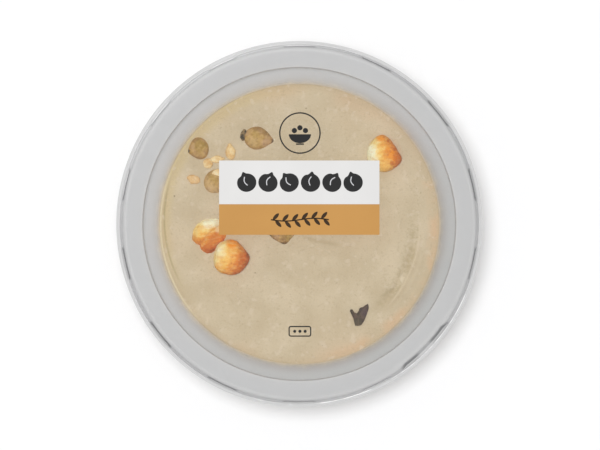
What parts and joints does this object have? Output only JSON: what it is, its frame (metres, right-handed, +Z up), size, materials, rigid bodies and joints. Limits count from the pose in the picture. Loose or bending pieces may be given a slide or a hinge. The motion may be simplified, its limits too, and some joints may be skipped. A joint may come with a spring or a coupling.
{
  "type": "tub of hummus",
  "caption": "Shallow round food tub of hummus with whole chickpeas on top, shut with a clear press-on lid that carries a plain label.",
  "frame": {"origin": "centre of the base, on the surface that the tub stands on", "axes": "+Z up through the lid, +Y towards the upper edge of the label, +X to the label's right"},
  "size_m": [0.1192, 0.1192, 0.0436],
  "materials": {
    "tub_plastic": "smooth, slightly hazy natural polypropylene",
    "hummus_paste": "moist smooth paste, satin",
    "golden_chickpea": "moist thin skin, satin",
    "tan_chickpea": "moist thin skin, satin",
    "parsley": "matte leaf",
    "lid_plastic": "clear, glossy",
    "label_pale": "printed, semi-gloss",
    "label_mustard": "printed, semi-gloss"
  },
  "bodies": {
    "root": {"tub": "tub_plastic", "hummus": "hummus_paste", "golden_chickpea_1": "golden_chickpea", "golden_chickpea_2": "golden_chickpea", "golden_chickpea_3": "golden_chickpea", "tan_chickpea_1": "tan_chickpea", "tan_chickpea_2": "tan_chickpea", "tan_chickpea_3": "tan_chickpea", "tan_chickpea_4": "tan_chickpea", "parsley_scrap": "parsley", "lid": "lid_plastic", "label_panel": "label_pale", "label_band": "label_mustard"}
  },
  "joints": []
}
